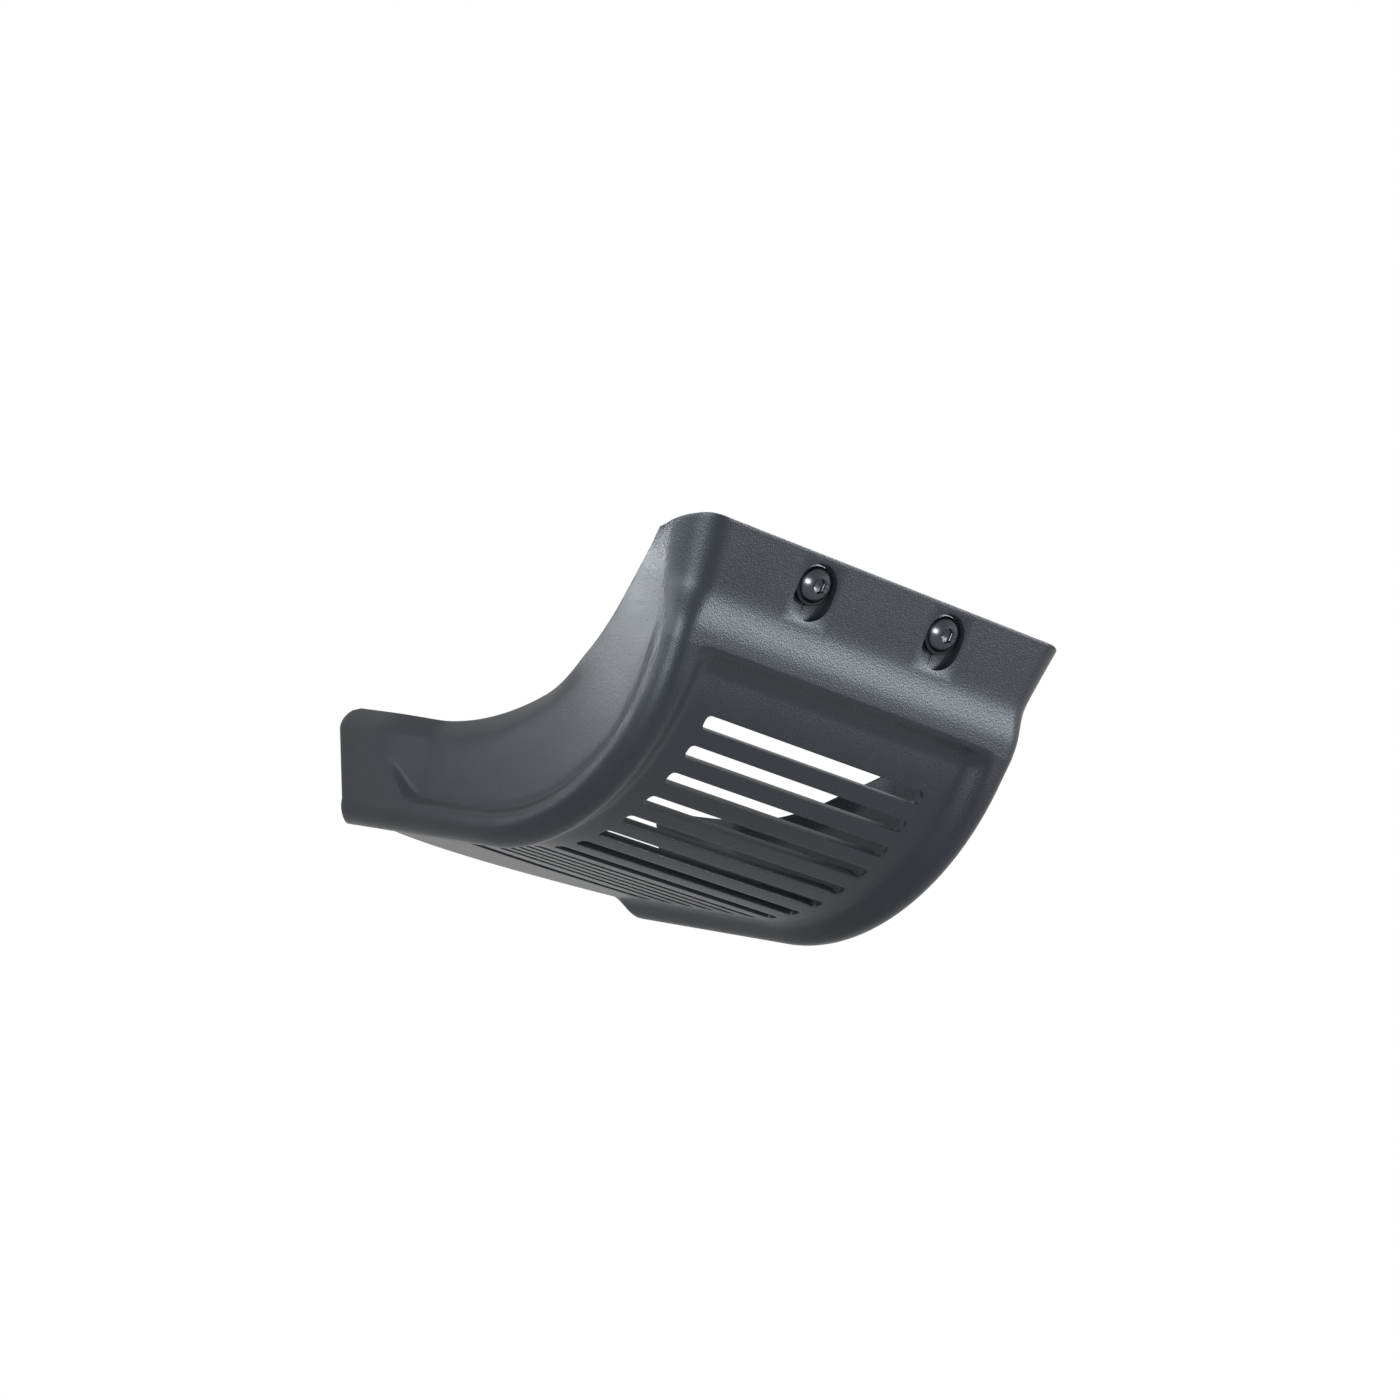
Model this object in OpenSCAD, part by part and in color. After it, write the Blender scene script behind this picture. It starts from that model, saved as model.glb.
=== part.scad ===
// Motorcycle skid plate: one moulded shell with two front fixing screws and their washers.
// X points forwards, Y to the left, Z up. The origin is the middle of the part's box; the shell is
// drawn from the point where the bend begins, and centred() moves it there.

/* [Shell] */
// Thickness of the moulded wall
wall = 3; // [2:0.5:4]
// Width across the flanks at the rear end
rear_width = 164; // [160:1:184]
// Width across the flanks at the top of the leg
top_width = 185; // [180:1:205]
// Length of the flat belly behind the bend
belly_length = 96; // [90:1:115]
// How far the rear edge bows backwards in the middle
rear_bow = 32; // [0:1:36]
// Outside radius of the bend between belly and leg
bend_r = 83; // [76:1:90]
// Lean of the leg from upright
leg_lean = 11; // [8:0.5:15]
// Height of the leg's top edge above the belly panel
leg_height = 122; // [118:1:132]

/* [Ridges and flange] */
// Width of the sunk panel between the feet of the ridges
panel_width = 126; // [118:1:128]
// Width of the slope from the panel up to the top of a ridge
ridge_slope = 12; // [8:0.5:14]
// Height of the ridges and of the cross bulge above the panel
ridge_out = 5.5; // [3:0.5:8]
// Radius of the corner between a ridge and its flank
corner_r = 8; // [6:0.5:10]
// Height of the flange face above the panel
flange_out = 2.8; // [1.5:0.1:4]
// Radius of the corner between the flange and its flank
top_corner_r = 10; // [8:0.5:14]
// Height of the flat flange face below the top edge
flange_face = 22; // [20:0.5:28]
// Length of the slope from the flange face out to the crest of the bulge
bulge_back = 13.5; // [8:0.5:18]
// Length of the slope from the crest of the bulge down to the panel
bulge_front = 13.5; // [8:0.5:18]

/* [Flanks] */
// Height of the flanks' free edge above the belly panel
rail_height = 38; // [34:0.5:46]
// Radius of the sweep of the free edge up the leg
edge_r = 136; // [110:1:140]
// Lean of the free edge from upright, beside the leg
edge_lean = 36.5; // [32:0.5:38]
// How far the top end of the free edge lies behind the top edge
top_setback = 21.5; // [16:0.5:26]
// How far the top end of the free edge lies below the top edge
top_drop = 8; // [4:0.5:12]
// Height of the strip along the free edge that leans inwards
lip_height = 9; // [5:0.5:12]
// How far the strip leans in at its edge
lip_in = 4; // [0:0.5:7]
// Depth of the scoop in the flank
scoop_depth = 4; // [1:0.5:5]
// Width of the sloped step along the lower side of the scoop
scoop_step = 5; // [3:0.5:7]
// How far the flanks' rear ends stay short of the belly's
rear_trim = 10; // [4:0.5:16]
// Lean of the flanks' rear ends, backwards towards the top
end_lean = 27; // [0:1:30]
// Radius of the rear top corner of a flank
end_corner_r = 9; // [5:0.5:14]

/* [Slots] */
// Number of cross slots
slot_count = 14; // [10:1:14]
// Distance between slot centres, along the panel
slot_pitch = 12.4; // [11.4:0.1:12.6]
// Width of a slot
slot_width = 5.6; // [5:0.1:7]
// Length of a slot
slot_length = 107.6; // [80:0.2:110]
// Radius of a slot's corners
slot_corner_r = 2; // [1:0.1:2.4]
// Distance from the foot of the bulge to the centre of the first slot
first_slot = 21.5; // [14:0.5:24]

/* [Front fixing] */
// Distance between the two screws
screw_spacing = 64; // [50:1:90]
// Distance of the screws below the top edge, along the flange
screw_drop = 11; // [10:0.5:13]
// Diameter of the screw shank
screw_d = 8; // [6:0.5:8]
// Length of the screw under its head
screw_length = 25; // [16:1:40]
// Mean diameter of the threaded run of the shank
thread_d = 7.2; // [5:0.1:7.5]
// Chamfer at the screw's tip
tip_chamfer = 0.8; // [0.4:0.1:1.2]
// Diameter of the domed head
head_d = 14; // [12:0.1:14.5]
// Height of the domed head
head_h = 4.4; // [3:0.1:5]
// Width across the flats of the hexagon socket
hex_size = 5; // [4:0.5:6]
// Depth of the hexagon socket
hex_depth = 2.6; // [1.5:0.1:2.8]
// Outside diameter of the washer
washer_d = 16; // [15:0.1:17]
// Thickness of the washer
washer_t = 1.6; // [1:0.1:2]
// Clearance of the washer's hole round the shank
washer_clearance = 0.4; // [0.2:0.1:0.6]
// Clearance of the shell's hole round the shank
hole_clearance = 1; // [0.5:0.1:1.5]
// Clearance of the pocket round the washer
pocket_clearance = 1.6; // [1:0.1:2]
// How much longer than wide the pocket is
pocket_slide = 4; // [2:0.5:5]
// Depth of the pocket below the flange face
pocket_depth = 3.5; // [2:0.5:4]
// Distance of the pocket below the top edge, along the flange
pocket_drop = 2.9; // [2:0.1:4]

/* [Hidden] */
$fn = 64;
over = 1;                       // overrun of a cutter past the face that it opens

// The middle line: belly, bend and leg, measured by the distance s from the start of the bend
bend_sweep = 90 - leg_lean;
bend_length = bend_r * bend_sweep * PI / 180;
bend_end = [bend_r * sin(bend_sweep), bend_r * (1 - cos(bend_sweep))];
leg_length = (leg_height - bend_end[1]) / sin(bend_sweep);
top_s = bend_length + leg_length;
crest_down = flange_face + bulge_back;
foot_down = crest_down + bulge_front;
panel_half = panel_width / 2;
flange_top = face_point(top_s, flange_out);
box_low = [-belly_length - rear_bow, -ridge_out];
box_high = flange_top + [0, wall * sin(leg_lean)];
box_proud = [0.38, 0.76];       // what the screw heads and the wall's top corners add to the box
box_middle = (box_low + box_high + box_proud) / 2;

// The free edge of a flank: rail, sweep and straight run to its top end
edge_top = [flange_top[0] - top_setback, flange_top[1] - top_drop];
edge_sweep = 90 - edge_lean;
edge_tangent = edge_r * tan(edge_sweep / 2);
edge_start = edge_top[0] - (edge_top[1] - rail_height) * tan(edge_lean) - edge_tangent;
sweep_length = edge_r * edge_sweep * PI / 180;
run_length = (edge_top[1] - rail_height) / cos(edge_lean) - edge_tangent;

// The top end of the flanks, seen along the leg: how deep it lies behind the flange face, and how low
top_depth = (edge_top - flange_top) * inward(bend_sweep);
top_fall = (flange_top - edge_top) * heading(bend_sweep);

// Where the scoop begins and ends, along the middle line, and how it fades
scoop_rear = -66;
scoop_rear_fade = 26;
scoop_rear_lift = 12;
scoop_front = bend_length - 4;
scoop_front_fade = 30;
lip_fade_start = bend_length * 0.35;
lip_fade = bend_length * 0.4;
top_cut_fade = 24;
width_growth = 3;               // the shell widens slowly at first, faster up the leg
lip_growth = 1.4;
ridge_flat = 0.5;               // least width of the flat between a ridge's slope and its corner

// Stations along the middle line, and points across the section
belly_steps = 8;
start_steps = 4;
bend_steps = 24;
bulge_steps = 5;
flange_steps = 4;
middle_steps = 3;
slope_steps = 4;
corner_steps = 4;
scoop_steps = 3;
side_steps = 3;
lip_steps = 4;

stations = concat(
    spread(-belly_length, edge_start, belly_steps),
    spread(edge_start, 0, start_steps),
    spread(0, bend_length, bend_steps),
    [bend_length],
    spread(top_s - foot_down, top_s - crest_down, bulge_steps),
    spread(top_s - crest_down, top_s - flange_face, bulge_steps),
    spread(top_s - flange_face, top_s, flange_steps),
    [top_s]
);

function spread(a, b, steps) = [for (i = [0 : steps - 1]) a + (b - a) * i / steps];
function ease(t) = let (u = max(0, min(1, t))) u * u * (3 - 2 * u);
function unit(v) = v / norm(v);
function reversed(v) = [for (i = [len(v) - 1 : -1 : 0]) v[i]];

// Directions in the side view at a turn of a degrees: along the middle line, and into the shell
function heading(a) = [cos(a), sin(a)];
function inward(a) = [-sin(a), cos(a)];
function turn(s) = max(0, min(bend_sweep, s / bend_r * 180 / PI));
function path_point(s) =
    s < 0 ? [s, 0]
    : s < bend_length ? [bend_r * sin(turn(s)), bend_r * (1 - cos(turn(s)))]
    : bend_end + (s - bend_length) * heading(bend_sweep);
function face_point(s, out) = path_point(s) - out * inward(turn(s));

function half_width(s) =
    rear_width / 2 + (top_width - rear_width) / 2 * pow(max(0, s) / top_s, width_growth);

// Height above the panel's line: over the middle, and over the ridges
function crest_share(s) = ease((s - top_s + foot_down) / bulge_front);
function flange_share(s) = ease((s - top_s + crest_down) / bulge_back);
function side_out(s) = ridge_out + (flange_out - ridge_out) * flange_share(s);
function corner_at(s) = corner_r + (top_corner_r - corner_r) * flange_share(s);
function middle_out(s) = ridge_out * crest_share(s) + (flange_out - ridge_out) * flange_share(s);

// Shift of the rear end along the belly: bowed in the middle, trimmed and leaning at the flanks
function rear_share(s) = max(0, min(1, (edge_start - s) / (belly_length + edge_start)));
function rear_shift(y, z) =
    y < panel_half ? -rear_bow * (1 - pow(y / panel_half, 2))
    : z <= corner_r - ridge_out ? rear_trim * ease((y - panel_half) / (rear_width / 2 - panel_half))
    : let (up = max(0, z - rail_height + end_corner_r))
        rear_trim - (z - corner_r + ridge_out) * tan(end_lean)
        + end_corner_r - sqrt(max(0, pow(end_corner_r, 2) - up * up));

// Shift of the top end down the leg, towards the top end of the free edge
function top_share(s) = max(0, 1 - (top_s - s) / top_cut_fade);

// Half of the section from the middle to the end of the corner, as width and height
function across(s) =
    let (
        mid = middle_out(s),
        side = side_out(s),
        radius = corner_at(s),
        arc = half_width(s) - radius,
        slope = min(ridge_slope, arc - panel_half - ridge_flat)
    )
    concat(
        [for (i = [0 : middle_steps - 1]) [panel_half * i / middle_steps, mid]],
        [for (i = [0 : slope_steps])
            let (f = i / slope_steps) [panel_half + slope * f, mid + (side - mid) * ease(f)]],
        [for (i = [0 : corner_steps])
            let (a = 90 * i / corner_steps)
            [arc + radius * sin(a), side - radius * (1 - cos(a))]]
    );

function placed(s, y, out) =
    let (
        a = turn(s),
        depth = min(1, (side_out(s) - out) / top_depth),
        cut = top_fall * (1 - pow(1 - depth, 2)) * top_share(s),
        p = face_point(s, out) - cut * heading(a)
    )
    [p[0], y, p[1]];

function edge_point(e) =
    e < 0 ? [edge_start + e, rail_height]
    : e < sweep_length
        ? let (a = e / edge_r * 180 / PI)
            [edge_start + edge_r * sin(a), rail_height + edge_r * (1 - cos(a))]
    : edge_top + (e - sweep_length - run_length) * heading(edge_sweep);
function edge_of(s) =
    edge_point(s < edge_start ? s - edge_start
        : (s - edge_start) * (sweep_length + run_length) / (top_s - edge_start));

// Half of the section up the flank, from the end of the corner to the free edge
function scoop_share(s) =
    ease((s - scoop_rear) / scoop_rear_fade) * (1 - ease((s - scoop_front) / scoop_front_fade));
function scoop_lift(s) = scoop_rear_lift * (1 - ease((s - scoop_rear) / scoop_rear_fade));
function flank(s, shaped) =
    let (
        w = half_width(s),
        foot = placed(s, w, side_out(s) - corner_at(s)),
        low = [foot[0], foot[2]],
        high = edge_of(s),
        depth = (high - low) * inward(turn(s)),
        lift = min(scoop_lift(s), depth * 0.3) / depth + 0.02,
        band = min(scoop_step, depth * 0.35) / depth,
        lip = min(lip_height, depth * 0.3) / depth,
        shares = concat(
            spread(lift, lift + band, scoop_steps),
            spread(lift + band, 1 - lip, side_steps),
            spread(1 - lip, 1, lip_steps),
            [1]
        )
    )
    [for (k = shares)
        let (
            p = low + (high - low) * k,
            dip = scoop_depth * scoop_share(s) * ease((k - lift) / band),
            lean = lip_in * pow(max(0, (k - 1 + lip) / lip), lip_growth)
                * (1 - ease((s - lip_fade_start) / lip_fade))
        )
        [p[0], w - shaped * (dip + lean), p[1]]];

function half_section(s, shaped) =
    let (square_end = concat([for (p = across(s)) placed(s, p[0], p[1])], flank(s, shaped)))
    [for (p = square_end) [p[0] + rear_shift(p[1], p[2]) * rear_share(s), p[1], p[2]]];
function section(s, shaped) =
    let (half = half_section(s, shaped))
    concat([for (i = [len(half) - 1 : -1 : 1]) [half[i][0], -half[i][1], half[i][2]]], half);

// Direction into the wall at a point of a grid of stations
function into(grid, i, j) =
    let (
        rows = len(grid) - 1,
        last = len(grid[0]) - 1,
        along = grid[min(rows, i + 1)][j] - grid[max(0, i - 1)][j],
        over_y = grid[i][min(last, j + 1)] - grid[i][max(0, j - 1)]
    )
    unit(cross(along, over_y));

// The wall: the outer face, and the same face moved in along the normals of the plain flanks,
// so that the inside follows the scoops and lips without folding over itself
module shell() {
    outer = [for (s = stations) section(s, 1)];
    plain = [for (s = stations) section(s, 0)];
    rows = len(outer);
    cols = len(outer[0]);
    inner = [for (i = [0 : rows - 1]) [for (j = [0 : cols - 1])
        outer[i][j] + wall * into(plain, i, j)]];
    size = rows * cols;
    points = [for (g = [outer, inner]) for (row = g) for (p = row) p];
    quads = concat(
        [for (i = [0 : rows - 2]) for (j = [0 : cols - 2])
            let (a = i * cols + j) [a, a + 1, a + cols + 1, a + cols]],
        [for (i = [0 : rows - 2]) for (j = [0 : cols - 2])
            let (a = size + i * cols + j) [a, a + cols, a + cols + 1, a + 1]],
        [for (i = [0 : rows - 2])
            let (a = i * cols) [a, a + cols, size + a + cols, size + a]],
        [for (i = [0 : rows - 2])
            let (a = i * cols + cols - 1) [a, size + a, size + a + cols, a + cols]],
        [for (j = [0 : cols - 2]) [j, size + j, size + j + 1, j + 1]],
        [for (j = [0 : cols - 2])
            let (a = (rows - 1) * cols + j) [a, a + 1, size + a + 1, size + a]]
    );
    faces = [for (q = quads) for (t = [[q[0], q[2], q[1]], [q[0], q[3], q[2]]]) t];
    polyhedron(points, faces, convexity = 10);
}

// Moves children so that the middle of the part's box is the origin
module centred() {
    translate([-box_middle[0], 0, -box_middle[1]]) children();
}

// Puts children on the panel at distance s: local z points outwards, local x back down the path
module on_panel(s) {
    p = path_point(s);
    translate([p[0], 0, p[1]])
        rotate([0, 180 - turn(s), 0])
            children();
}

// Puts children on the flange face below the top edge, at the right (-1) or left (1) screw
module on_flange(side, down) {
    p = flange_top - down * heading(bend_sweep);
    translate([p[0], side * screw_spacing / 2, p[1]])
        rotate([0, 180 - bend_sweep, 0])
            children();
}

// Flat outline with round ends, of width w, reaching from the origin's round end over a slide along x
module obround(w, slide) {
    circle(d = w);
    translate([slide, 0]) circle(d = w);
    translate([0, -w / 2]) square([slide, w]);
}

module slot_cut() {
    w = slot_width - 2 * slot_corner_r;
    l = slot_length - 2 * slot_corner_r;
    translate([0, 0, -wall - over])
        linear_extrude(wall + 2 * over) {
            square([w, slot_length], center = true);
            square([slot_width, l], center = true);
            for (x = [-w / 2, w / 2], y = [-l / 2, l / 2])
                translate([x, y]) circle(slot_corner_r);
        }
}

pocket_w = washer_d + pocket_clearance;
pocket_round = pocket_drop + pocket_w / 2;
head_base = -pocket_depth + washer_t;

module pocket_boss() {
    lid = flange_out / 4;
    translate([0, 0, -pocket_depth - wall])
        linear_extrude(pocket_depth + wall - lid)
            obround(pocket_w + 2 * wall, pocket_slide);
}

module pocket_cut() {
    translate([0, 0, -pocket_depth])
        linear_extrude(pocket_depth + ridge_out + over)
            obround(pocket_w, pocket_slide);
}

module screw_hole() {
    translate([0, 0, -pocket_depth - wall - over])
        cylinder(d = screw_d + hole_clearance, h = wall + 2 * over);
}

// One moulding: the lofted wall, the bosses behind the screw pockets, and what is cut from them
module skid_plate() {
    color([0.13, 0.13, 0.14])
        centred() difference() {
            union() {
                shell();
                for (side = [-1, 1]) on_flange(side, pocket_round) pocket_boss();
            }
            for (i = [0 : slot_count - 1])
                on_panel(top_s - foot_down - first_slot - i * slot_pitch) slot_cut();
            for (side = [-1, 1]) on_flange(side, pocket_round) pocket_cut();
            for (side = [-1, 1]) on_flange(side, screw_drop) screw_hole();
        }
}

// Domed socket-head screw, standing on the washer: plain through the washer and the pocket's
// floor, threaded behind it
module screw(side) {
    dome_r = (pow(head_d / 2, 2) + pow(head_h, 2)) / (2 * head_h);
    neck = washer_t + wall;
    thread_r = thread_d / 2;
    color([0.2, 0.2, 0.21])
        centred() on_flange(side, screw_drop)
            translate([0, 0, head_base])
                difference() {
                    union() {
                        rotate_extrude()
                            intersection() {
                                translate([0, head_h - dome_r]) circle(dome_r);
                                square([head_d / 2, head_h]);
                            }
                        translate([0, 0, -neck]) cylinder(d = screw_d, h = neck);
                        translate([0, 0, -screw_length + tip_chamfer])
                            cylinder(r = thread_r, h = screw_length - tip_chamfer - neck);
                        translate([0, 0, -screw_length])
                            cylinder(r1 = thread_r - tip_chamfer, r2 = thread_r, h = tip_chamfer);
                    }
                    translate([0, 0, head_h - hex_depth])
                        cylinder(d = hex_size / cos(30), h = hex_depth + over, $fn = 6);
                }
}

module washer(side) {
    color([0.24, 0.24, 0.25])
        centred() on_flange(side, screw_drop)
            translate([0, 0, -pocket_depth])
                difference() {
                    cylinder(d = washer_d, h = washer_t);
                    translate([0, 0, -over])
                        cylinder(d = screw_d + washer_clearance, h = washer_t + 2 * over);
                }
}

module front_screw_right() { screw(-1); }
module front_screw_left() { screw(1); }
module washer_right() { washer(-1); }
module washer_left() { washer(1); }

skid_plate();
front_screw_right();
front_screw_left();
washer_right();
washer_left();
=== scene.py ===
from math import sin, cos, tan, pi, radians, sqrt, atan2
import bpy
import bmesh
from mathutils import Vector, Matrix


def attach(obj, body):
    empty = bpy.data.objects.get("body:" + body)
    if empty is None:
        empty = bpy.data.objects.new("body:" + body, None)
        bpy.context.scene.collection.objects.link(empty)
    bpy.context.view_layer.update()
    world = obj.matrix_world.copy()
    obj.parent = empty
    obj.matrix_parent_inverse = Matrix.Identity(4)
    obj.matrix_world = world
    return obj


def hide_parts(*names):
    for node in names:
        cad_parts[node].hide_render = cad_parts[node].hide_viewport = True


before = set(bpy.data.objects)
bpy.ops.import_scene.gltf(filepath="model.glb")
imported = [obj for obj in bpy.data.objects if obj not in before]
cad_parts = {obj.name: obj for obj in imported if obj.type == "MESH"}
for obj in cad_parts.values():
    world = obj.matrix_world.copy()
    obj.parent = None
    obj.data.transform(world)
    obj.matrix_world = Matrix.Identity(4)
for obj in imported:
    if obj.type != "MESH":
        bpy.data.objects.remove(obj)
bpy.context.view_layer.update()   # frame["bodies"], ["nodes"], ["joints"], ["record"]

scene = bpy.context.scene
mm = 0.001
for name in ("Cube", "Light", "Camera"):   # what a new file starts with
    if name in bpy.data.objects:
        bpy.data.objects.remove(bpy.data.objects[name])

# The moulded shell, in millimetres. Its middle line, s, is measured from where the bend begins.
shell = {
    "wall": 3.0, "rearWidth": 164.0, "topWidth": 185.0, "widthGrowth": 3.0,
    "bellyLength": 96.0, "rearBow": 32.0, "bendRadius": 83.0, "legLean": 11.0, "legHeight": 122.0,
    "panelWidth": 126.0, "ridgeSlope": 12.0, "ridgeFlat": 0.5, "ridgeOut": 5.5,
    "cornerRadius": 8.0, "topCornerRadius": 14.0,
    "flangeOut": 2.8, "flangeFace": 22.0, "bulge": 27.0, "ramp": 23.5, "edgeRound": 1.1, "panelWall": 8.5,
    "rampCurved": 0.6, "rampCurveStart": 0.12, "rampCurveSpan": 0.7, "rampPower": 1.5, "panelWallPower": 2,
    "railHeight": 38.0, "edgeRadius": 136.0, "edgeLean": 36.5, "topSetback": 21.5, "topDrop": 8.0,
    "topCutFade": 34.0, "topCutPower": 1.25, "lipHeight": 9.0, "lipIn": 4.0,
    "scoopDepth": 4.0, "scoopStep": 5.0, "scoopRear": -75.0, "scoopRearFade": 35.0,
    "scoopRearLift": 16.0, "scoopFront": 62.0, "scoopFrontFade": 78.0, "creaseSharpness": 0.45,
    "rearTrim": 10.0, "endLean": 27.0, "endCornerRadius": 9.0,
    "boxMiddle": (-16.3686, 58.6491),   # of the whole part, from the side, where the frame has its origin
    "rimRound": 0.55, "rimSegments": 2, "rimAngle": 42.0,
}

# How the flank's forms share its depth, and where along the bend its lip fades out
flank = {
    "liftLimit": 0.4, "stepLimit": 0.35, "lipLimit": 0.3, "footGap": 0.02, "lipPower": 1.4,
    "lipFadeStart": 0.35, "lipFadeSpan": 0.4,
}

# The cross slots, cut through the panel
slots = {"count": 14, "pitch": 12.4, "width": 5.6, "length": 107.6, "cornerRadius": 2.0, "first": 21.5}

# The two sunk pockets in the flange, each with its screw hole
pockets = {
    "spacing": 64.0, "round": 8.8, "drop": 11.7, "slide": 4.0, "depth": 3.5,
    "holeRadius": 4.5, "holeDrop": 11.0, "blockHalf": 11.0, "blockTop": 1.3, "blockLow": 27.0, "steps": 40,
}


def ease(t):
    u = max(0.0, min(1.0, t))
    return u * u * (3 - 2 * u)


def blend(a, b, t):
    return a + (b - a) * t


# Side view: the middle line and the free edge of the flanks
bendSweep = pi / 2 - radians(shell["legLean"])
bendLength = shell["bendRadius"] * bendSweep
bendEnd = Vector((shell["bendRadius"] * sin(bendSweep), shell["bendRadius"] * (1 - cos(bendSweep))))
topS = bendLength + (shell["legHeight"] - bendEnd.y) / sin(bendSweep)
footDown = shell["flangeFace"] + shell["bulge"]
crestS = topS - shell["flangeFace"] - shell["ramp"]
panelHalf = shell["panelWidth"] / 2


def heading(a):
    return Vector((cos(a), sin(a)))


def inward(a):
    return Vector((-sin(a), cos(a)))


def turn(s):
    return max(0.0, min(bendSweep, s / shell["bendRadius"]))


def facePoint(s, out):
    r = shell["bendRadius"]
    a = turn(s)
    if s < 0:
        base = Vector((s, 0.0))
    elif s < bendLength:
        base = Vector((r * sin(a), r * (1 - cos(a))))
    else:
        base = bendEnd + (s - bendLength) * heading(bendSweep)
    return base - out * inward(a)


flangeTop = facePoint(topS, shell["flangeOut"])
edgeTop = flangeTop - Vector((shell["topSetback"], shell["topDrop"]))
edgeSweep = pi / 2 - radians(shell["edgeLean"])
edgeTangent = shell["edgeRadius"] * tan(edgeSweep / 2)
edgeStart = edgeTop.x - (edgeTop.y - shell["railHeight"]) * tan(radians(shell["edgeLean"])) - edgeTangent
sweepLength = shell["edgeRadius"] * edgeSweep
runLength = (edgeTop.y - shell["railHeight"]) / cos(radians(shell["edgeLean"])) - edgeTangent
topDepth = (edgeTop - flangeTop).dot(inward(bendSweep))
topFall = (flangeTop - edgeTop).dot(heading(bendSweep))


def halfWidth(s):
    grown = (shell["topWidth"] - shell["rearWidth"]) / 2
    return shell["rearWidth"] / 2 + grown * (max(0.0, s) / topS) ** shell["widthGrowth"]


def flangeShare(s):   # 1 on the flange, falling down the ramp to 0 at the bulge's edge
    t = max(0.0, min(1.0, (topS - shell["flangeFace"] - s) / shell["ramp"]))
    curved = shell["rampCurved"] * ease((t - shell["rampCurveStart"]) / shell["rampCurveSpan"])
    return 1 - curved - (1 - shell["rampCurved"]) * t ** shell["rampPower"]


def sideOut(s):
    return blend(shell["ridgeOut"], shell["flangeOut"], flangeShare(s))


def sharpOut(s):   # the ramp ends in a sharp edge, and a wall with a soft foot drops to the panel
    t = max(0.0, min(1.0, (crestS - s) / shell["panelWall"]))
    return sideOut(s) * (1 - t) ** shell["panelWallPower"]


def middleOut(s):   # that edge, rounded
    r = shell["edgeRound"]
    return sum(sharpOut(s + d * r) for d in (-1.0, -0.5, 0.0, 0.5, 1.0)) / 5


def cornerAt(s):
    return blend(shell["cornerRadius"], shell["topCornerRadius"], flangeShare(s))


def placed(s, out):   # the flange's top edge drops as it goes round the corner
    depth = min(1.0, (sideOut(s) - out) / topDepth)
    fade = ease(1 - (topS - s) / shell["topCutFade"])
    cut = topFall * max(0.0, depth) ** shell["topCutPower"] * fade
    return facePoint(s, out) - cut * heading(turn(s))


def edgePoint(s):
    if s < edgeStart:
        return Vector((s, shell["railHeight"]))
    e = (s - edgeStart) * (sweepLength + runLength) / (topS - edgeStart)
    r = shell["edgeRadius"]
    if e < sweepLength:
        return Vector((edgeStart + r * sin(e / r), shell["railHeight"] + r * (1 - cos(e / r))))
    return edgeTop + (e - sweepLength - runLength) * heading(edgeSweep)


def rearShift(y, z):
    low = shell["cornerRadius"] - shell["ridgeOut"]
    if y < panelHalf:
        return -shell["rearBow"] * (1 - (y / panelHalf) ** 2)
    if z <= low:
        return shell["rearTrim"] * ease((y - panelHalf) / (shell["rearWidth"] / 2 - panelHalf))
    r = shell["endCornerRadius"]
    up = max(0.0, z - shell["railHeight"] + r)
    return (shell["rearTrim"] - (z - low) * tan(radians(shell["endLean"]))
            + r - sqrt(max(0.0, r * r - up * up)))


# Across the shell, u runs from the middle line over these bands to the free edge
bands = [("panel", panelHalf), ("slope", 12.0), ("flat", 4.0), ("corner", 12.0),
         ("strip", 4.0), ("step", 8.0), ("scoop", 16.0), ("lip", 10.0)]


def bandOf(u):
    start = 0.0
    for name, width in bands:
        if u <= start + width or name == "lip":
            return name, min(1.0, (u - start) / width)
        start += width


def bandStart(wanted):
    start = 0.0
    for name, width in bands:
        if name == wanted:
            return start
        start += width


def stepProfile(t):
    t = max(0.0, min(1.0, t))
    return blend(ease(t), 1 - cos(t * pi / 2), shell["creaseSharpness"])


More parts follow.
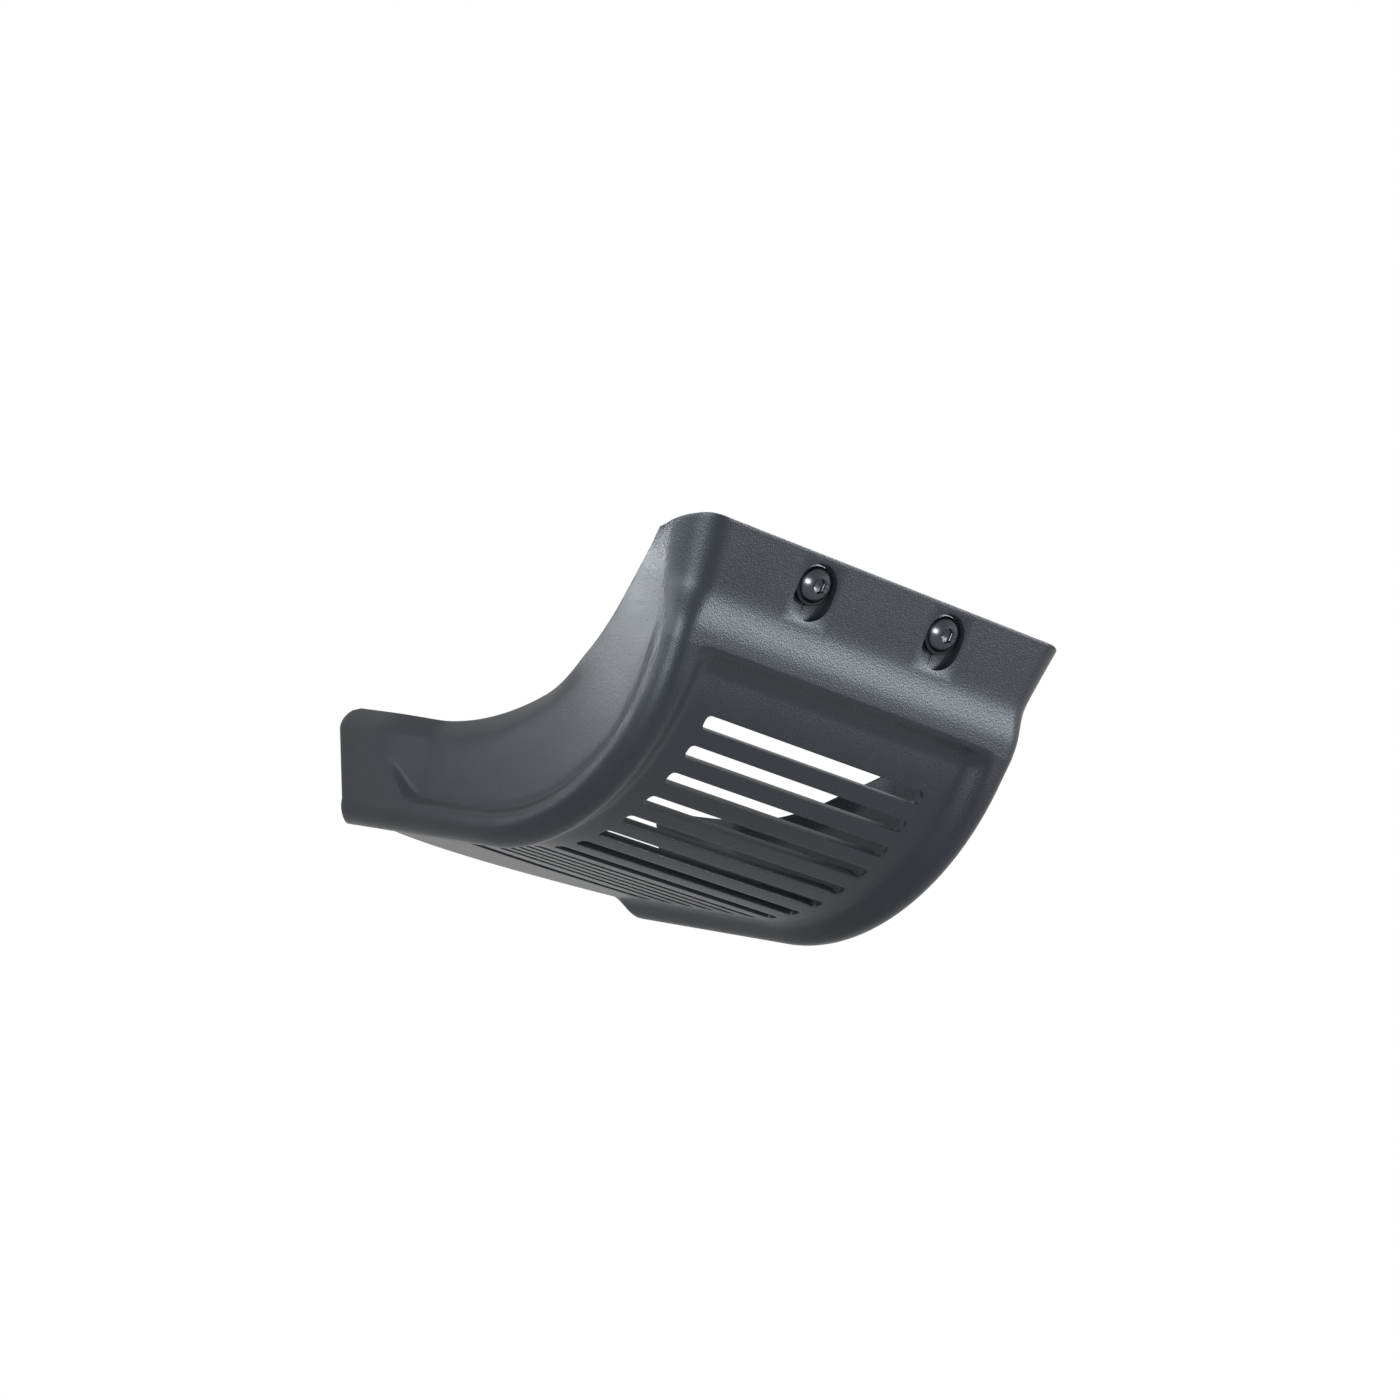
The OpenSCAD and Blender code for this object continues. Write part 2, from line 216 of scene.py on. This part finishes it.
def place(s, u, lift=0.0, shaped=True):
    side = -1.0 if u < 0 else 1.0
    name, t = bandOf(abs(u))
    w = halfWidth(s)
    radius = cornerAt(s)
    arc = w - radius
    slope = min(shell["ridgeSlope"], arc - panelHalf - shell["ridgeFlat"])
    middle, ridge = middleOut(s), sideOut(s)
    if name in ("panel", "slope", "flat", "corner"):
        if name == "panel":
            y, out = panelHalf * t, middle
        elif name == "slope":
            y, out = panelHalf + slope * t, blend(middle, ridge, ease(t))
        elif name == "flat":
            y, out = blend(panelHalf + slope, arc, t), ridge
        else:
            y, out = arc + radius * sin(t * pi / 2), ridge - radius * (1 - cos(t * pi / 2))
        p = placed(s, out + lift)
    else:
        low, high = placed(s, ridge - radius), edgePoint(s)
        depth = (high - low).dot(inward(turn(s)))
        risen = shell["scoopRearLift"] * (1 - ease((s - shell["scoopRear"]) / shell["scoopRearFade"]))
        start = min(risen, depth * flank["liftLimit"]) / depth + flank["footGap"]
        step = min(shell["scoopStep"], depth * flank["stepLimit"]) / depth
        lip = min(shell["lipHeight"], depth * flank["lipLimit"]) / depth
        k = {"strip": start * t, "step": start + step * t,
             "scoop": blend(start + step, 1 - lip, t), "lip": blend(1 - lip, 1.0, t)}[name]
        p = low + (high - low) * k
        y = w
        if shaped:
            share = ease((s - shell["scoopRear"]) / shell["scoopRearFade"]) * (
                1 - ease((s - shell["scoopFront"]) / shell["scoopFrontFade"]))
            lean = shell["lipIn"] * max(0.0, (k - 1 + lip) / lip) ** flank["lipPower"]
            y -= shell["scoopDepth"] * share * stepProfile((k - start) / step)
            y -= lean * (1 - ease((s / bendLength - flank["lipFadeStart"]) / flank["lipFadeSpan"]))
    x, z = p.x, p.y
    rear = max(0.0, min(1.0, (edgeStart - s) / (shell["bellyLength"] + edgeStart)))
    x += rearShift(y, z) * rear
    return Vector((x - shell["boxMiddle"][0], side * y, z - shell["boxMiddle"][1])) * mm


def plainInward(s, u):   # square to the shell as it is without scoops and lips
    h = pattern["probe"]
    along = place(min(topS, s + h), u, 0, False) - place(max(-shell["bellyLength"], s - h), u, 0, False)
    total = sum(width for name, width in bands)
    across = place(s, min(total, u + h), 0, False) - place(s, max(-total, u - h), 0, False)
    return along.cross(across).normalized()


# Rows along the middle line: closer beside the slots, in the bulge and at the top edge
pattern = {
    "probe": 0.4, "beside": 1.1, "footGap": 1.0, "edgeHalf": 1.5,
    "bellyRows": 14, "footRows": 5, "wallRows": 8, "edgeRows": 6, "rampRows": 13, "blockRows": 12,
    "middleColumns": [0.0, 5.5, 11.0, 16.0], "blockColumns": 4, "pastBlock": 47.5, "panelEnd": [58.0, 60.5],
    "bandColumns": {"slope": 12, "flat": 2, "corner": 12, "strip": 3, "step": 9, "scoop": 9, "lip": 7},
}


def spread(a, b, pieces):
    return [blend(a, b, i / pieces) for i in range(pieces)]


slotCentres = [topS - footDown - slots["first"] - i * slots["pitch"] for i in range(slots["count"])]
halfSlot = slots["width"] / 2
roundStart = halfSlot - slots["cornerRadius"]
roundMiddle = roundStart + slots["cornerRadius"] / 2


def rowsAlong():
    beside, edge = pattern["beside"], pattern["edgeHalf"]
    rows = spread(-shell["bellyLength"], slotCentres[-1] - halfSlot - beside, pattern["bellyRows"])
    for c in reversed(slotCentres):
        rows.append(c - halfSlot - beside)
        rows += [c - halfSlot, c - roundMiddle, c - roundStart, c + roundStart, c + roundMiddle, c + halfSlot]
        rows += [c + halfSlot + beside, c + slots["pitch"] / 2]
    rows.pop()
    blockLow, blockTop = topS - pockets["blockLow"], topS - pockets["blockTop"]
    wallFoot = crestS - shell["panelWall"] - pattern["footGap"]
    rows += spread(rows[-1], wallFoot, pattern["footRows"])[1:]
    rows += spread(wallFoot, crestS - edge, pattern["wallRows"])
    rows += spread(crestS - edge, crestS + edge, pattern["edgeRows"])
    rows += spread(crestS + edge, blockLow, pattern["rampRows"])
    rows += spread(blockLow, blockTop, pattern["blockRows"])
    return rows + [blockTop, topS]


def columnsAcross():
    beside, corner = pattern["beside"], slots["cornerRadius"]
    end = slots["length"] / 2
    near = pockets["spacing"] / 2 - pockets["blockHalf"]
    far = pockets["spacing"] / 2 + pockets["blockHalf"]
    half = pattern["middleColumns"] + spread(near, far, pattern["blockColumns"]) + [far, pattern["pastBlock"]]
    half += [end - corner - beside, end - corner, end - corner + corner / 2, end, end + beside]
    half += pattern["panelEnd"]
    for name, width in bands[1:]:
        half += spread(bandStart(name), bandStart(name) + width, pattern["bandColumns"][name])
    half.append(bandStart("lip") + bands[-1][1])
    return [-u for u in reversed(half[1:])] + half


def within(v, low, high):
    return low - 1e-4 < v < high + 1e-4


def edgesAmong(bm, verts):
    inside = set(verts)
    return [e for e in bm.edges if e.verts[0] in inside and e.verts[1] in inside]


def boundaryOf(bm, verts):
    return [e for e in edgesAmong(bm, verts) if e.is_boundary]


def flatRing(bm, radius, slide, centre):   # the lower half slides down, so the ring has straight sides
    made = bmesh.ops.create_circle(bm, cap_ends=False, segments=pockets["steps"], radius=radius)
    ring = list(made["verts"])
    for v in ring:
        share = ease(0.5 - v.co.x) if abs(v.co.x) < 0.5 else float(v.co.x < 0)
        v.co.x -= slide * share
        v.co += centre
    return ring, edgesAmong(bm, ring)


def smoothShade(bm):
    for f in bm.faces:
        f.smooth = True


def newObject(name, bm, material, body="root", nodes=()):
    mesh = bpy.data.meshes.new(name)
    bm.to_mesh(mesh)
    bm.free()
    obj = bpy.data.objects.new(name, mesh)
    scene.collection.objects.link(obj)
    mesh.materials.append(material)
    if nodes:
        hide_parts(*nodes)
    if body:
        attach(obj, body)
    return obj


# A shader socket that takes part in plain sums
class Sock:
    def __init__(self, tree, socket):
        self.tree = tree
        self.socket = socket

    def maths(self, operation, a, b):
        node = self.tree.nodes.new("ShaderNodeMath")
        node.operation = operation
        for value, target in ((a, node.inputs[0]), (b, node.inputs[1])):
            if isinstance(value, Sock):
                self.tree.links.new(value.socket, target)
            else:
                target.default_value = value
        return Sock(self.tree, node.outputs[0])

    def __add__(self, other):
        return self.maths("ADD", self, other)

    def __radd__(self, other):
        return self.maths("ADD", other, self)

    def __mul__(self, other):
        return self.maths("MULTIPLY", self, other)

    def __rmul__(self, other):
        return self.maths("MULTIPLY", other, self)


class Maker:
    def __init__(self, name, world=False):
        self.owner = bpy.data.worlds.new(name) if world else bpy.data.materials.new(name)
        self.owner.use_nodes = True
        self.tree = self.owner.node_tree
        self.tree.nodes.clear()

    def node(self, kind, settings=None, **inputs):   # i0 is the first socket, other keys are names
        made = self.tree.nodes.new(kind)
        for key, value in (settings or {}).items():
            setattr(made, key, value)
        for key, value in inputs.items():
            numbered = key[0] == "i" and key[1:].isdigit()
            target = made.inputs[int(key[1:]) if numbered else key.replace("_", " ")]
            if isinstance(value, Sock):
                self.tree.links.new(value.socket, target)
            else:
                target.default_value = value
        return made

    def out(self, made, which=0):
        return Sock(self.tree, made.outputs[which])


def noise(m, coords, scale, detail=2.0, roughness=0.5):
    made = m.node("ShaderNodeTexNoise", {"noise_dimensions": "3D"}, Vector=coords, Scale=scale,
                  Detail=detail, Roughness=roughness)
    return m.out(made, 0)


def colourMix(m, factor, dark, light):
    made = m.node("ShaderNodeMix", {"data_type": "RGBA"}, i0=factor, i6=dark, i7=light)
    return m.out(made, 2)


plastic = {
    "dark": (0.0050, 0.0056, 0.0068, 1), "light": (0.0100, 0.0110, 0.0132, 1), "grainInTone": 0.75,
    "roughness": 0.30, "grainInRoughness": 0.1, "patchInRoughness": 0.05,
    # The blue tint of the gloss is painted light: the lamps' bluish colour is put into the plastic's
    # reflections, while the lamps stay white
    "specular": 0.23, "paintedLampBlue": (0.82, 0.91, 1.0, 1),
    "grain": 1600.0, "speck": 1500.0, "patches": 38.0, "grainInHeight": 0.6,
    "grainDepth": 0.0002, "bump": 0.55,
}


def mouldedPlastic():
    look = plastic
    m = Maker("moulded shell")
    coords = m.out(m.node("ShaderNodeTexCoord"), 3)
    grain = noise(m, coords, look["grain"], 3.0, 0.65)
    patches = noise(m, coords, look["patches"], 3.0, 0.5)
    speck = m.out(m.node("ShaderNodeTexVoronoi", {"feature": "F1"}, Vector=coords, Scale=look["speck"]), 0)
    tone = grain * look["grainInTone"] + patches * (1 - look["grainInTone"])
    colour = colourMix(m, tone, look["dark"], look["light"])
    rough = look["roughness"] + grain * look["grainInRoughness"] + patches * look["patchInRoughness"]
    height = grain * look["grainInHeight"] + speck * (1 - look["grainInHeight"])
    bump = m.out(m.node("ShaderNodeBump", None, Strength=look["bump"], Distance=look["grainDepth"],
                        Height=height))
    bsdf = m.node("ShaderNodeBsdfPrincipled", None, Base_Color=colour, Roughness=rough, Normal=bump)
    bsdf.inputs["Specular IOR Level"].default_value = look["specular"]
    # painted light colour: the gloss is tinted with the lamps' bluish cast
    bsdf.inputs["Specular Tint"].default_value = look["paintedLampBlue"]
    m.node("ShaderNodeOutputMaterial", None, Surface=m.out(bsdf))
    return m.owner


# The coated steel of the screws and washers
steel = {
    "screwTone": (0.055, 0.059, 0.067), "screwRoughness": 0.20,
    "washerTone": (0.03, 0.032, 0.036), "washerRoughness": 0.33,
    "darker": 0.75, "fine": 1400.0, "wide": 160.0, "wideInRoughness": 0.1, "bump": 0.25, "bumpDepth": 0.00004,
}


def coatedSteel(name, tone, roughness):
    m = Maker(name)
    coords = m.out(m.node("ShaderNodeTexCoord"), 3)
    fine = noise(m, coords, steel["fine"], 2.0, 0.6)
    wide = noise(m, coords, steel["wide"], 2.0, 0.5)
    dark = tuple(c * steel["darker"] for c in tone)
    colour = colourMix(m, fine * 0.5 + wide * 0.5, dark + (1,), tone + (1,))
    rough = roughness + wide * steel["wideInRoughness"]
    bump = m.out(m.node("ShaderNodeBump", None, Strength=steel["bump"], Distance=steel["bumpDepth"],
                        Height=fine))
    bsdf = m.node("ShaderNodeBsdfPrincipled", None, Base_Color=colour, Roughness=rough, Normal=bump)
    bsdf.inputs["Metallic"].default_value = 1.0
    m.node("ShaderNodeOutputMaterial", None, Surface=m.out(bsdf))
    return m.owner


plasticLook = mouldedPlastic()
screwLook = coatedSteel("screw steel", steel["screwTone"], steel["screwRoughness"])
washerLook = coatedSteel("washer steel", steel["washerTone"], steel["washerRoughness"])
print("materials made")


# The shell is a flat pattern of rows and columns that is cut, then bent into place
def makeShell():
    rows, columns = rowsAlong(), columnsAcross()
    bm = bmesh.new()
    bmesh.ops.create_grid(bm, x_segments=len(rows) - 1, y_segments=len(columns) - 1, size=0.5)
    for v in bm.verts:   # the grid's lines go to the rows and columns, still flat
        i = round((v.co.x + 0.5) * (len(rows) - 1))
        j = round((v.co.y + 0.5) * (len(columns) - 1))
        v.co = Vector((rows[i], columns[j], 0.0))
    halfLength = slots["length"] / 2
    gone = []
    for f in bm.faces:
        c = f.calc_center_median()
        inSlot = abs(c.y) < halfLength and any(abs(c.x - s) < halfSlot for s in slotCentres)
        inBlock = (abs(abs(c.y) - pockets["spacing"] / 2) < pockets["blockHalf"]
                   and topS - pockets["blockLow"] < c.x < topS - pockets["blockTop"])
        if inSlot or inBlock:
            gone.append(f)
    bmesh.ops.delete(bm, geom=gone, context="FACES")
    # Slot corners: the five corner points of each opening move onto the round
    r = slots["cornerRadius"]
    for v in bm.verts:
        s = min(slotCentres, key=lambda c: abs(c - v.co.x))
        dx, dy = abs(v.co.x - s) - roundStart, abs(v.co.y) - (halfLength - r)
        if within(dx, 0, r) and within(dy, 0, r) and max(dx, dy) > r - 1e-3:
            a = atan2(dx, dy)
            signX, signY = (1 if v.co.x > s else -1), (1 if v.co.y > 0 else -1)
            v.co.x = s + signX * (roundStart + r * sin(a))
            v.co.y = signY * (halfLength - r + r * cos(a))
    # Pockets: a round-ended rim in the flange, its wall, its floor and the screw hole
    kept = bm.verts.layers.int.new("pocket")
    for side in (-1, 1):
        middle = side * pockets["spacing"] / 2
        block = [v for v in bm.verts if within(abs(v.co.y - middle), 0, pockets["blockHalf"])
                 and within(v.co.x, topS - pockets["blockLow"], topS - pockets["blockTop"])]
        outerEdges = boundaryOf(bm, block)
        rimCentre = Vector((topS - pockets["drop"], middle, 0.0))
        ring, ringEdges = flatRing(bm, pockets["round"], pockets["slide"], rimCentre)
        bmesh.ops.bridge_loops(bm, edges=outerEdges + ringEdges)
        wallGeom = bmesh.ops.extrude_edge_only(bm, edges=ringEdges)["geom"]
        floorVerts = [g for g in wallGeom if isinstance(g, bmesh.types.BMVert)]
        floorEdges = edgesAmong(bm, floorVerts)
        for v in floorVerts:
            v.co.z = -pockets["depth"]
        holeCentre = Vector((topS - pockets["holeDrop"], middle, -pockets["depth"]))
        hole, holeEdges = flatRing(bm, pockets["holeRadius"], 0.0, holeCentre)
        bmesh.ops.bridge_loops(bm, edges=floorEdges + holeEdges)
        for v in ring + floorVerts + hole:
            v[kept] = 1
    # The flat pattern is remembered on the points, then bent into the shell
    rowAt, columnAt = (bm.verts.layers.float.new(n) for n in ("row", "column"))
    for v in bm.verts:
        v[rowAt], v[columnAt] = v.co.x, v.co.y
        v.co = place(v.co.x, v.co.y, v.co.z)
    bmesh.ops.recalc_face_normals(bm, faces=bm.faces)
    if max(bm.faces, key=lambda f: f.calc_center_median().x).normal.x < 0:
        bmesh.ops.reverse_faces(bm, faces=bm.faces)
    outer = set(bm.verts)
    bmesh.ops.solidify(bm, geom=list(bm.faces), thickness=shell["wall"] * mm)
    # The inner face follows the flanks without their scoops, so that it never folds
    for v in bm.verts:
        if v not in outer and not v[kept]:
            s, u = v[rowAt], v[columnAt]
            v.co = place(s, u) + shell["wall"] * mm * plainInward(s, u)
    bmesh.ops.recalc_face_normals(bm, faces=bm.faces)
    # Every rim is rounded: slots, pockets, holes and the outer edges
    steep = radians(shell["rimAngle"])
    rims = [e for e in bm.edges if len(e.link_faces) == 2 and e.calc_face_angle(0.0) > steep]
    bmesh.ops.bevel(bm, geom=rims, offset=shell["rimRound"] * mm, offset_type="OFFSET",
                    segments=shell["rimSegments"], profile=0.5, affect="EDGES", clamp_overlap=True,
                    material=-1)
    smoothShade(bm)
    print("shell made", len(bm.faces), "faces,", len(rims), "rim edges")
    return newObject("skidPlateShell", bm, plasticLook, "root", ("skid_plate",))


plate = makeShell()

# The screws and washers lie in the pockets, square to the flange
screwFit = {
    "head": 14.0, "headHeight": 4.4, "headSteps": 14,
    "socket": 5.0, "socketDepth": 2.6, "socketChamfer": 0.45,
    "shank": 8.0, "plain": 4.6, "length": 25.0, "threadOuter": 7.9, "threadDepth": 0.62, "pitch": 1.25,
    "tip": 0.8, "seat": -1.9, "steps": 48, "rowsPerTurn": 6, "sharpAngle": 38.0,
}
washerFit = {
    "outer": 16.0, "hole": 8.4, "thickness": 1.6, "seat": -3.5, "round": 0.3, "steps": 56, "sharpAngle": 50.0,
}


def onFlange(side, down):   # from a turned piece's own axes, in millimetres, to its place in metres
    base = flangeTop - down * heading(bendSweep)
    outward, up = -inward(bendSweep), heading(bendSweep)
    turned = Matrix(((-up.x, 0.0, outward.x), (0.0, 1.0, 0.0), (-up.y, 0.0, outward.y)))
    x, z = base.x - shell["boxMiddle"][0], base.y - shell["boxMiddle"][1]
    moved = Vector((x, side * pockets["spacing"] / 2, z)) * mm
    return Matrix.Translation(moved) @ turned.to_4x4() @ Matrix.Diagonal((mm, mm, mm, 1.0))


def seatPiece(bm, fit, side):   # moves it into its pocket and marks its sharp edges
    bmesh.ops.translate(bm, verts=bm.verts, vec=(0, 0, fit["seat"]))
    bmesh.ops.transform(bm, matrix=onFlange(side, pockets["holeDrop"]), verts=bm.verts)
    smoothShade(bm)
    for e in bm.edges:
        if len(e.link_faces) == 2 and e.calc_face_angle(0.0) > radians(fit["sharpAngle"]):
            e.smooth = False


def spun(profile, steps):
    bm = bmesh.new()
    chain = [bm.verts.new((r, 0.0, z)) for r, z in profile]
    for a, b in zip(chain, chain[1:]):
        bm.edges.new((a, b))
    bmesh.ops.spin(bm, geom=bm.verts[:] + bm.edges[:], cent=(0, 0, 0), axis=(0, 0, 1), dvec=(0, 0, 0),
                   angle=2 * pi, steps=steps, use_merge=True, use_duplicate=False)
    bmesh.ops.remove_doubles(bm, verts=bm.verts, dist=1e-4)
    bmesh.ops.recalc_face_normals(bm, faces=bm.faces)
    return bm


def makeScrew(name, side, node):
    fit = screwFit
    headRadius, shankRadius, threadRadius = fit["head"] / 2, fit["shank"] / 2, fit["threadOuter"] / 2
    domeRadius = (headRadius ** 2 + fit["headHeight"] ** 2) / (2 * fit["headHeight"])

    def domeZ(r):
        return fit["headHeight"] - domeRadius + sqrt(domeRadius ** 2 - r * r)

    flat = fit["socket"] / 2
    rim = flat / cos(pi / 6) + fit["socketChamfer"]
    hexTop = domeZ(rim) - fit["socketChamfer"]
    floor = fit["headHeight"] - fit["socketDepth"]
    threadTop, threadEnd = -fit["plain"] - 0.2, -fit["length"] + fit["tip"]
    profile = [(0.0, floor - 0.5), (flat * 0.55, floor - 0.15), (flat * 0.96, floor), (flat, floor + 0.12)]
    profile += [(flat, hexTop), (rim, domeZ(rim)), (rim + 0.12, domeZ(rim + 0.12))]
    for i in range(fit["headSteps"] + 1):
        r = blend(rim + 0.3, headRadius - 0.12, i / fit["headSteps"])
        profile.append((r, domeZ(r)))
    profile += [(headRadius - 0.02, 0.22), (headRadius - 0.08, 0.06), (headRadius - 0.3, 0.0)]
    profile += [(shankRadius + 0.15, 0.0), (shankRadius, -0.15), (shankRadius, -fit["plain"] + 0.1)]
    profile.append((threadRadius, -fit["plain"]))
    count = int((fit["length"] - fit["plain"] - fit["tip"]) / fit["pitch"] * fit["rowsPerTurn"])
    profile += [(threadRadius, blend(threadTop, threadEnd, i / count)) for i in range(count + 1)]
    profile += [(threadRadius - fit["tip"], -fit["length"]), (0.0, -fit["length"])]
    bm = spun(profile, fit["steps"])
    for v in bm.verts:
        r, a, z = sqrt(v.co.x ** 2 + v.co.y ** 2), atan2(v.co.y, v.co.x), v.co.z
        if 0.1 < r < rim - 0.2 and z > floor - 0.2:   # round rings go onto the hexagon
            k = (a / (pi / 3)) % 1.0 - 0.5
            v.co.x, v.co.y = v.co.x / cos(k * pi / 3), v.co.y / cos(k * pi / 3)
        elif -fit["length"] + fit["tip"] * 0.5 < z < -fit["plain"] - 0.1 and r > 1:
            k = (z / fit["pitch"] - a / (2 * pi)) % 1.0      # the thread winds round the shank
            fade = min(1.0, (-fit["plain"] - z) / fit["pitch"])
            less = fit["threadDepth"] * fade * (1 - abs(2 * k - 1))
            v.co.x, v.co.y = v.co.x * (1 - less / r), v.co.y * (1 - less / r)
    seatPiece(bm, fit, side)
    return newObject(name, bm, screwLook, "root", (node,))


def makeWasher(name, side, node):
    fit = washerFit
    inner, outer, t, r = fit["hole"] / 2, fit["outer"] / 2, fit["thickness"], fit["round"]
    profile = [(inner, 0.0), (inner, t), (outer - r, t), (outer - r * 0.3, t - r * 0.3), (outer, t - r)]
    profile += [(outer, r * 0.5), (outer - r * 0.5, 0.0), (inner, 0.0)]
    bm = spun(profile, fit["steps"])
    seatPiece(bm, fit, side)
    return newObject(name, bm, washerLook, "root", (node,))


makeScrew("screwRight", -1, "front_screw_right")
makeScrew("screwLeft", 1, "front_screw_left")
makeWasher("washerRight", -1, "washer_right")
makeWasher("washerLeft", 1, "washer_left")
print("screws and washers made")


# A pale studio, in metres. The floor turns into plain white towards its rim.
studio = {
    "floorZ": -0.40, "floorRadius": 1.15, "floorTone": 0.8, "fadeStart": 0.35, "fadeEnd": 1.1,
    "whiteNear": 0.35, "fill": 0.2,
}


def seenDirectly(m):   # 1 for camera, gloss and transmission rays
    path = m.node("ShaderNodeLightPath")
    return m.out(path, 0) + m.out(path, 3) + m.out(path, 6)


def makeFloor():
    bm = bmesh.new()
    bmesh.ops.create_circle(bm, cap_ends=True, segments=96, radius=studio["floorRadius"])
    bmesh.ops.translate(bm, verts=bm.verts, vec=(0, 0, studio["floorZ"]))
    m = Maker("pale floor")
    coords = m.out(m.node("ShaderNodeTexCoord"), 3)
    flat = m.out(m.node("ShaderNodeVectorMath", {"operation": "MULTIPLY"}, i0=coords, i1=(1.0, 1.0, 0.0)))
    away = m.out(m.node("ShaderNodeVectorMath", {"operation": "LENGTH"}, i0=flat), 1)
    edge = m.out(m.node("ShaderNodeMapRange", {"interpolation_type": "SMOOTHSTEP"}, i0=away,
                        i1=studio["fadeStart"], i2=studio["fadeEnd"], i3=studio["whiteNear"], i4=1.0))
    paint = m.node("ShaderNodeBsdfDiffuse", None, Color=(studio["floorTone"],) * 3 + (1,))
    white = m.node("ShaderNodeEmission", None, Color=(1, 1, 1, 1), Strength=1.0)
    mixed = m.node("ShaderNodeMixShader", None, Fac=edge * seenDirectly(m), i1=m.out(paint), i2=m.out(white))
    m.node("ShaderNodeOutputMaterial", None, Surface=m.out(mixed))
    floor = newObject("floor", bm, m.owner, None)


def makeWorld():
    m = Maker("studio", world=True)
    strength = studio["fill"] + (1 - studio["fill"]) * seenDirectly(m)
    back = m.node("ShaderNodeBackground", None, Color=(1, 1, 1, 1), Strength=strength)
    m.node("ShaderNodeOutputWorld", None, Surface=m.out(back))
    scene.world = m.owner


lamps = {
    # name: (bearing, height in degrees, distance, size, power, beam in degrees, target)
    "bulgeBox": (41.0, 15.0, 1.25, (0.5, 0.26), 25.0, 180.0, (0.08, 0.0, 0.03)),
    "flankBox": (-145.0, -8.0, 0.9, (0.08, 0.08), 0.034, 12.0, (0.078, -0.088, 0.05)),
    "cornerBox": (-45.0, -3.0, 1.25, (0.5, 0.4), 24.0, 180.0, (0.05, -0.07, 0.0)),
    "sideBox": (-98.0, 0.0, 0.42, (0.46, 0.16), 3.0, 180.0, (0.09, -0.085, 0.055)),
}


def makeLamps():
    for name, (bearing, height, distance, size, power, beam, target) in lamps.items():
        data = bpy.data.lights.new(name, "AREA")
        data.shape = "RECTANGLE"
        data.size, data.size_y = size
        data.energy = power
        data.spread = radians(beam)
        lamp = bpy.data.objects.new(name, data)
        scene.collection.objects.link(lamp)
        az, el = radians(bearing), radians(height)
        aim = Vector((cos(az) * cos(el), sin(az) * cos(el), sin(el)))
        lamp.location = Vector(target) + aim * distance
        lamp.rotation_euler = aim.to_track_quat("Z", "Y").to_euler()
        lamp.visible_camera = False


# The photo's camera: millimetres from where the bend begins, degrees, and a focal length in its pixels
view = {"azimuth": 51.52, "elevation": -6.499, "roll": 14.793, "distance": 1900.0,
        "aim": (3.967, 0.0, 70.541), "focal": 5108.16, "frame": 1400.0}


def makeCamera():
    az, el, roll = (radians(view[k]) for k in ("azimuth", "elevation", "roll"))
    forward = Vector((-sin(az) * cos(el), cos(az) * cos(el), -sin(el)))
    level = Vector((cos(az), sin(az), 0.0))
    drop = forward.cross(level)
    right = cos(roll) * level - sin(roll) * drop
    down = sin(roll) * level + cos(roll) * drop
    aim = Vector(view["aim"]) - Vector((shell["boxMiddle"][0], 0.0, shell["boxMiddle"][1]))
    data = bpy.data.cameras.new("camera")
    data.sensor_width = 36.0
    data.lens = view["focal"] * 36.0 / view["frame"]
    data.clip_start, data.clip_end = 0.05, 50.0
    camera = bpy.data.objects.new("camera", data)
    scene.collection.objects.link(camera)
    turned = Matrix((right, -down, -forward)).transposed().to_4x4()
    camera.matrix_world = Matrix.Translation((aim - forward * view["distance"]) * mm) @ turned
    scene.camera = camera


makeFloor()
makeWorld()
makeLamps()
makeCamera()
scene.view_settings.view_transform = "Standard"
print("studio made")
